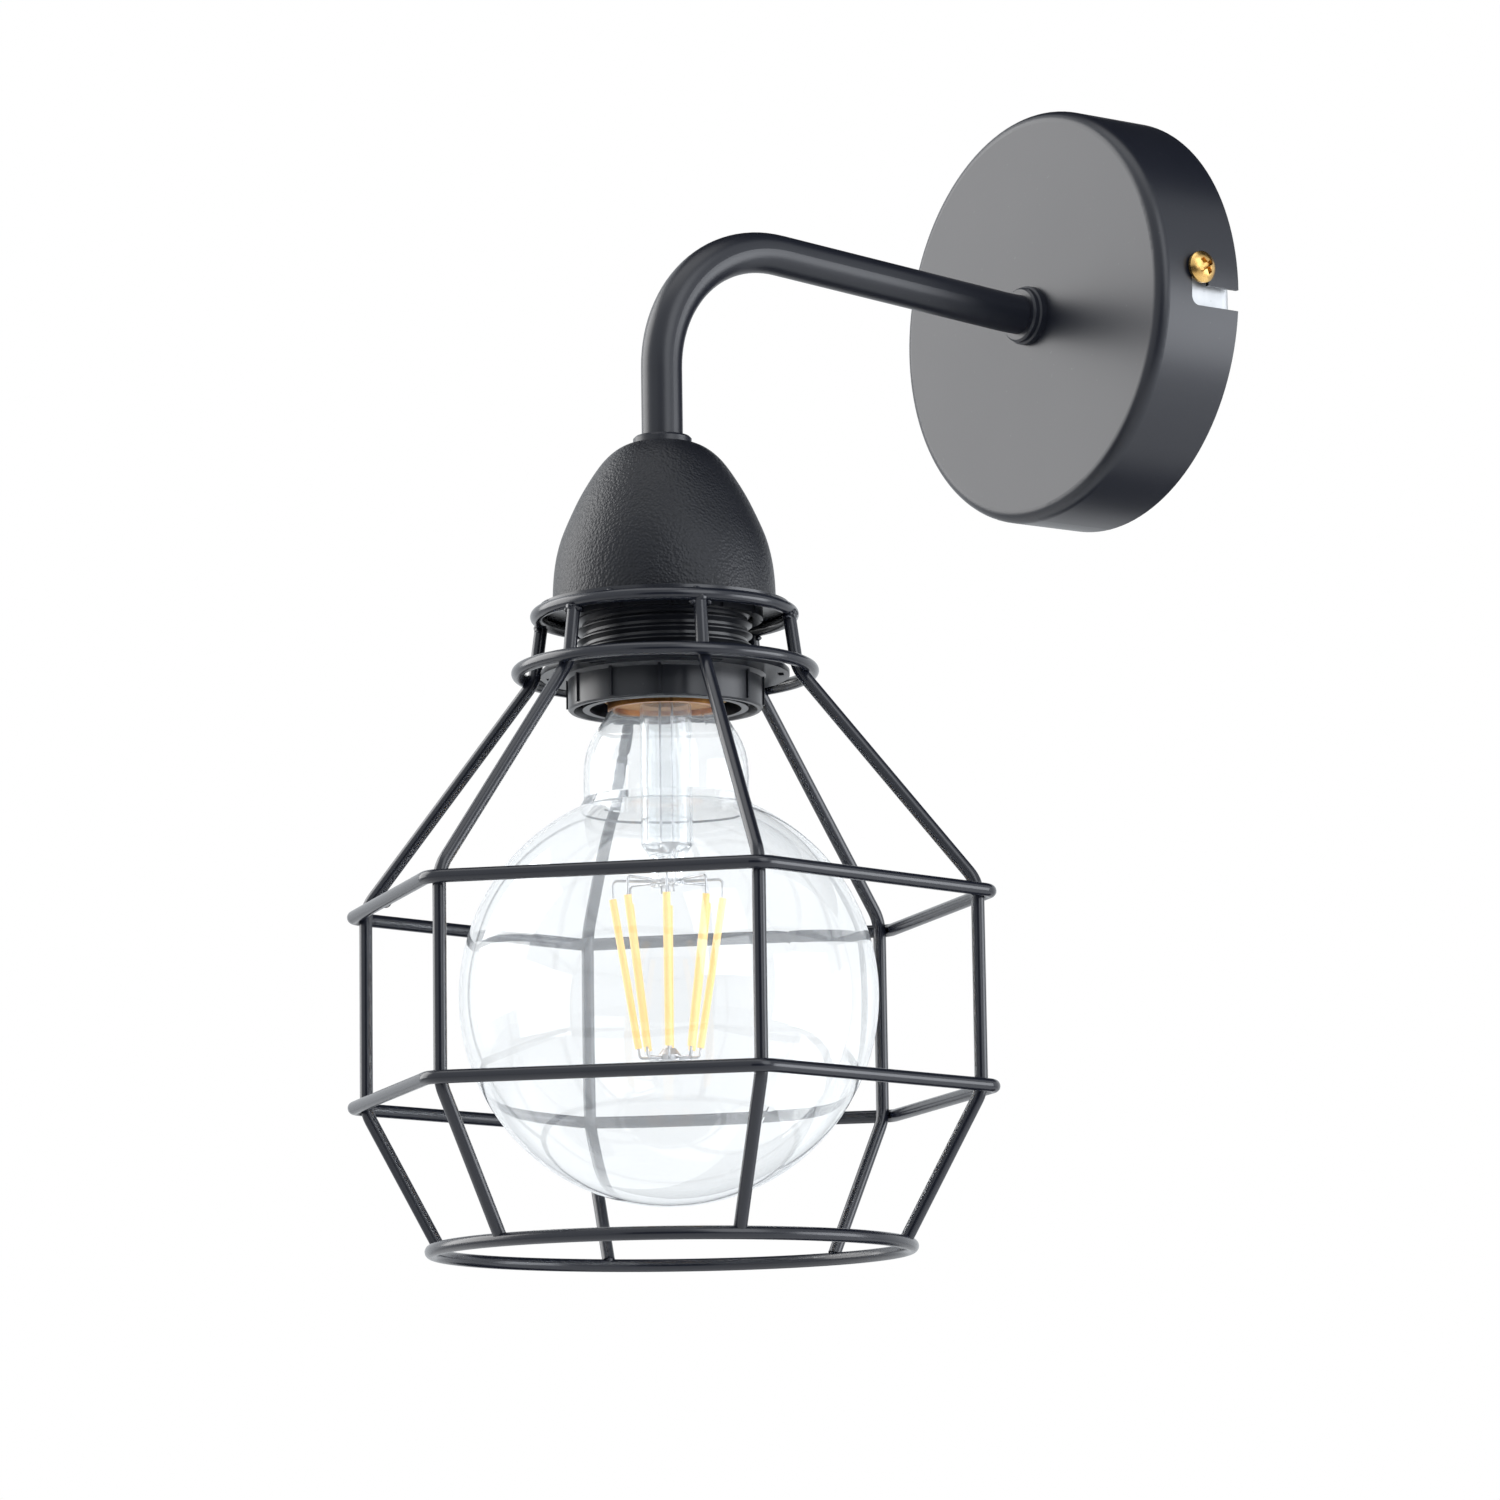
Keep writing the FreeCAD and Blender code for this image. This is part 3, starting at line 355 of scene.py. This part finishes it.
tackSpots = [around(plateTacks["reach"], plateTacks["start"] + tackTurn * i, topRing + plateTacks["lift"])
             for i in range(plateTacks["count"])]


def pointCloud(name, spots):
    mesh = bpy.data.meshes.new(name)
    mesh.from_pydata([tuple(s) for s in spots], [], [])
    made = bpy.data.objects.new(name, mesh)
    scene.collection.objects.link(made)
    return made


blob = {"divisions": 4, "smallest": (0.75, 0.75, 0.55), "largest": (1.2, 1.2, 0.95),
        "tilt": (0.5, 0.5, 6.28), "lumpScale": 900.0, "lumpDetail": 2.0, "lumpMiddle": 0.5}


def blobGroup(material):  # a lumpy ball on every point, with its own size and turn
    group = bpy.data.node_groups.new("weld blobs", "GeometryNodeTree")
    face = group.interface
    face.new_socket("Points", in_out="INPUT", socket_type="NodeSocketGeometry")
    size = face.new_socket("Blob Radius", in_out="INPUT", socket_type="NodeSocketFloat")
    seed = face.new_socket("Seed", in_out="INPUT", socket_type="NodeSocketInt")
    face.new_socket("Blobs", in_out="OUTPUT", socket_type="NodeSocketGeometry")
    start = group.nodes.new("NodeGroupInput")
    end = group.nodes.new("NodeGroupOutput")
    points, radius, draw = (Maths(group, start.outputs[name]) for name in ("Points", "Blob Radius", "Seed"))
    ball = points.node("GeometryNodeMeshIcoSphere", None,
                       {"Subdivisions": blob["divisions"], "Radius": radius})
    scale = draw.node("FunctionNodeRandomValue", {"data_type": "FLOAT_VECTOR"},
                      {0: blob["smallest"], 1: blob["largest"], "Seed": draw})
    tilt = draw.node("FunctionNodeRandomValue", {"data_type": "FLOAT_VECTOR"},
                     {1: blob["tilt"], "Seed": draw})
    placed = points.node("GeometryNodeInstanceOnPoints", None,
                         {"Points": points, "Instance": ball, "Scale": scale, "Rotation": tilt})
    real = placed.node("GeometryNodeRealizeInstances", None, {0: placed})
    lumps = real.node("ShaderNodeTexNoise", None, {"Scale": blob["lumpScale"], "Detail": blob["lumpDetail"]})
    depth = (lumps - blob["lumpMiddle"]) * radius
    normal = real.node("GeometryNodeInputNormal")
    push = normal.node("ShaderNodeVectorMath", {"operation": "SCALE"}, {0: normal, "Scale": depth})
    lumpy = real.node("GeometryNodeSetPosition", None, {"Geometry": real, "Offset": push})
    smooth = lumpy.node("GeometryNodeSetShadeSmooth", None, {"Geometry": lumpy})
    painted = smooth.node("GeometryNodeSetMaterial", None, {"Geometry": smooth, "Material": material})
    group.links.new(painted.socket, end.inputs[0])
    return group, {"radius": size.identifier, "seed": seed.identifier}


def grown(points, group, settings):  # the node group's result takes the place of the points
    modifier = points.modifiers.new("grow", "NODES")
    modifier.node_group = group
    for key, value in settings.items():
        modifier[key] = value
    evaluated = points.evaluated_get(bpy.context.evaluated_depsgraph_get())
    shaped = bpy.data.meshes.new_from_object(evaluated)
    points.modifiers.remove(modifier)
    points.data = shaped
    return points


blobs, blobKeys = blobGroup(materials["cage_black_coat"])
for name, spots, look in (("rod_top_welds", topSpots, topWelds), ("rod_top_spatter", spatterSpots, spatter),
                          ("hoop_welds", hoopSpots, hoopWelds), ("plate_tacks", tackSpots, plateTacks)):
    settings = {blobKeys["radius"]: look["radius"], blobKeys["seed"]: look["seed"]}
    beads = grown(pointCloud(name, spots), blobs, settings)
    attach(beads, "cage")
print("welds made")

seams = {"wire": 0.0015, "proud": -0.00001, "bead": 0.00026, "sides": 40, "ringSides": 10,
         "hoopReach": 0.0742, "upperShare": 0.42, "lowerShare": 0.52,
         "bottomReach": 0.054, "bottomTurn": 106, "topReach": 0.0292, "topTurn": 279}


def alongHoop(i, share, node):  # a place on a hoop's side, and the way the wire runs there
    z = middleHeight(node)
    start, end = (around(seams["hoopReach"], rodTurn(corner), z) for corner in (i, i + 1))
    return start.lerp(end, share), (end - start).normalized()


def alongRing(radius, degrees, node):
    angle = math.radians(degrees)
    return around(radius, degrees, middleHeight(node)), Vector((-math.sin(angle), math.cos(angle), 0))


def seamMesh(places):  # a thin bead round the wire at every place
    vertices, faces = [], []
    sides, ringSides = seams["sides"], seams["ringSides"]
    swell = seams["bead"] / 2
    reach = seams["wire"] + seams["proud"] - swell
    up = Vector((0, 0, 1))
    for middle, along in places:
        across = along.cross(up)
        start = len(vertices)
        for i in range(sides):
            a = 2 * math.pi * i / sides
            radial = up * math.cos(a) + across * math.sin(a)
            for j in range(ringSides):
                b = 2 * math.pi * j / ringSides
                out = middle + radial * (reach + swell * math.cos(b))
                vertices.append(out + along * (swell * math.sin(b)))
        for i in range(sides):
            for j in range(ringSides):
                nextI, nextJ = (i + 1) % sides, (j + 1) % ringSides
                corners = ((i, j), (nextI, j), (nextI, nextJ), (i, nextJ))
                faces.append([start + p * ringSides + q for p, q in corners])
    mesh = bpy.data.meshes.new("butt_seams")
    mesh.from_pydata([tuple(v) for v in vertices], [], faces)
    shaped = bmesh.new()
    shaped.from_mesh(mesh)
    bmesh.ops.recalc_face_normals(shaped, faces=shaped.faces)
    shaped.to_mesh(mesh)
    shaped.free()
    mesh.shade_smooth()
    return mesh


seamPlaces = [alongHoop(5, seams["upperShare"], "upper_hoop"),
              alongHoop(1, seams["lowerShare"], "lower_hoop"),
              alongRing(seams["bottomReach"], seams["bottomTurn"], "bottom_ring"),
              alongRing(seams["topReach"], seams["topTurn"], "top_ring")]
buttSeams = bpy.data.objects.new("butt_seams", seamMesh(seamPlaces))
buttSeams.data.materials.append(materials["cage_black_coat"])
scene.collection.objects.link(buttSeams)
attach(buttSeams, "cage")
print("seams made")

# each wire lists two distances from the wall, the first where the bracket holds it and the second where the
# fixture does; nothing below reads them, and each wire is copied unbent
wireBends = {"live_wire": (0.0, -0.004), "neutral_wire": (0.0, -0.004), "earth_wire": (-0.004, -0.020)}
for node, (start, end) in wireBends.items():
    source = nodes[node]
    mesh = source.data.copy()
    mesh.transform(source.matrix_world)
    wire = bpy.data.objects.new(node + "_soft", mesh)
    scene.collection.objects.link(wire)
    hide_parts(node)
    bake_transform(wire)
print("wires made")

studio = {"floorSize": 6, "floorHeight": -0.75, "floorPatch": 3.0, "floorRough": 0.9,
          "floorDark": (0.86, 0.86, 0.86), "floorLight": (0.88, 0.88, 0.88),
          "air": (0.93, 0.965, 1.0), "seenAir": (1.0, 1.0, 1.0), "fill": 0.75, "card": (0.01, 0.01, 0.012, 1)}


def buildStage():  # a pale floor, and air that is white to the camera and a little dimmer as a light
    bpy.ops.mesh.primitive_plane_add(size=studio["floorSize"], location=(0, 0, studio["floorHeight"]))
    floor = bpy.context.object
    floor.name = "floor"
    material, shader, place = newMaterial("studio floor")
    patch = noise(place, studio["floorPatch"])
    linkTo(shader, "Base Color", colourBetween(patch, studio["floorDark"], studio["floorLight"]))
    shader.inputs["Roughness"].default_value = studio["floorRough"]
    floor.data.materials.append(material)
    world = bpy.data.worlds.new("studio air")
    scene.world = world
    world.use_nodes = True
    tree = world.node_tree
    path = tree.nodes.new("ShaderNodeLightPath")
    kinds = ("Is Camera Ray", "Is Transmission Ray", "Is Glossy Ray")
    rays = [Maths(tree, path.outputs[name]) for name in kinds]
    seen = rays[0].sum("MAXIMUM", rays[1])
    background = tree.nodes["Background"]
    linkTo(background, "Color", colourBetween(seen, studio["air"], studio["seenAir"]))
    linkTo(background, "Strength", seen.sum("MAXIMUM", rays[2]) * (1 - studio["fill"]) + studio["fill"])
    return [floor]


def facing(look, axis):
    aim = Vector(look["towards"]) - Vector(look["at"])
    return aim.to_track_quat(axis, "Y").to_euler()


def darkCard(name, look):  # shows only in reflections, where it cuts the white air
    bpy.ops.mesh.primitive_plane_add(size=look["size"], location=look["at"])
    card = bpy.context.object
    card.name = name
    card.rotation_euler = facing(look, "Z")
    material, shader, place = newMaterial(name)
    shader.inputs["Base Color"].default_value = studio["card"]
    shader.inputs["Specular IOR Level"].default_value = 0.0
    card.data.materials.append(material)
    for kind in ("camera", "transmission", "diffuse", "shadow"):
        setattr(card, "visible_" + kind, False)
    return card


def softbox(name, look):
    lamp = bpy.data.lights.new(name, "AREA")
    lamp.shape = "RECTANGLE"
    lamp.size, lamp.size_y = look["size"]
    lamp.energy = look["power"]
    lamp.color = look["colour"]
    made = bpy.data.objects.new(name, lamp)
    scene.collection.objects.link(made)
    made.location = look["at"]
    made.rotation_euler = facing(look, "-Z")
    return made


lamps = {
    "key": {"at": (-1.0, -0.85, 0.35), "towards": (0, -0.05, -0.05), "size": (1.1, 1.3), "power": 17,
            "colour": (1.0, 0.99, 0.98)},
    "side": {"at": (1.2, -0.2, 0.5), "towards": (0, -0.1, -0.1), "size": (0.7, 1.2), "power": 6,
             "colour": (0.93, 0.96, 1.0)},
    "top": {"at": (0.1, -0.4, 1.3), "towards": (0, -0.1, -0.1), "size": (1.2, 1.0), "power": 4,
            "colour": (1.0, 1.0, 1.0)},
    "rear": {"at": (1.14, 0.97, -0.15), "towards": (0, -0.1, -0.1), "size": (1.1, 0.9), "power": 15,
             "colour": (0.92, 0.95, 1.0)},
}
cards = {
    "front card": {"at": (1.35, -1.05, -0.35), "towards": (0, -0.1, -0.1), "size": 1.3},
    "upper card": {"at": (-0.5, 0.8, 1.7), "towards": (0, -0.1, -0.1), "size": 2.8},
    "lower card": {"at": (-0.4, 0.5, -0.72), "towards": (-0.4, 0.5, 0), "size": 0.75},
}
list(buildStage())
[darkCard(name, look) for name, look in cards.items()]
for name, look in lamps.items():
    softbox(name, look)

# angles in degrees, the sensor in millimetres, focal and pixels in pixels of the photo, the rest in metres
view = {"focal": 5837.1, "pixels": 1500, "sensor": 36.0, "near": 0.01,
        "bearing": 54.444, "pitch": 8.769, "roll": -0.804,
        "target": (0, -0.13224, -0.110), "distance": 1.329, "across": 0.019294, "down": 0.004564}
camera = bpy.data.cameras.new("camera")
camera.sensor_width = view["sensor"]
camera.lens = view["focal"] / view["pixels"] * view["sensor"]
camera.clip_start = view["near"]
cameraObject = bpy.data.objects.new("camera", camera)
scene.collection.objects.link(cameraObject)
scene.camera = cameraObject
bearing, pitch, roll = (math.radians(view[name]) for name in ("bearing", "pitch", "roll"))
ahead = Vector((-math.sin(bearing) * math.cos(pitch), math.cos(bearing) * math.cos(pitch), math.sin(pitch)))
level = Vector((math.cos(bearing), math.sin(bearing), 0))
upward = level.cross(ahead)
right = level * math.cos(roll) + upward * math.sin(roll)
top = upward * math.cos(roll) - level * math.sin(roll)
eye = Vector(view["target"]) - ahead * view["distance"] + level * view["across"] - upward * view["down"]
cameraObject.matrix_world = Matrix((
    (right.x, top.x, -ahead.x, eye.x),
    (right.y, top.y, -ahead.y, eye.y),
    (right.z, top.z, -ahead.z, eye.z),
    (0, 0, 0, 1)))

scene.view_settings.view_transform = "Standard"
print("stage ready")
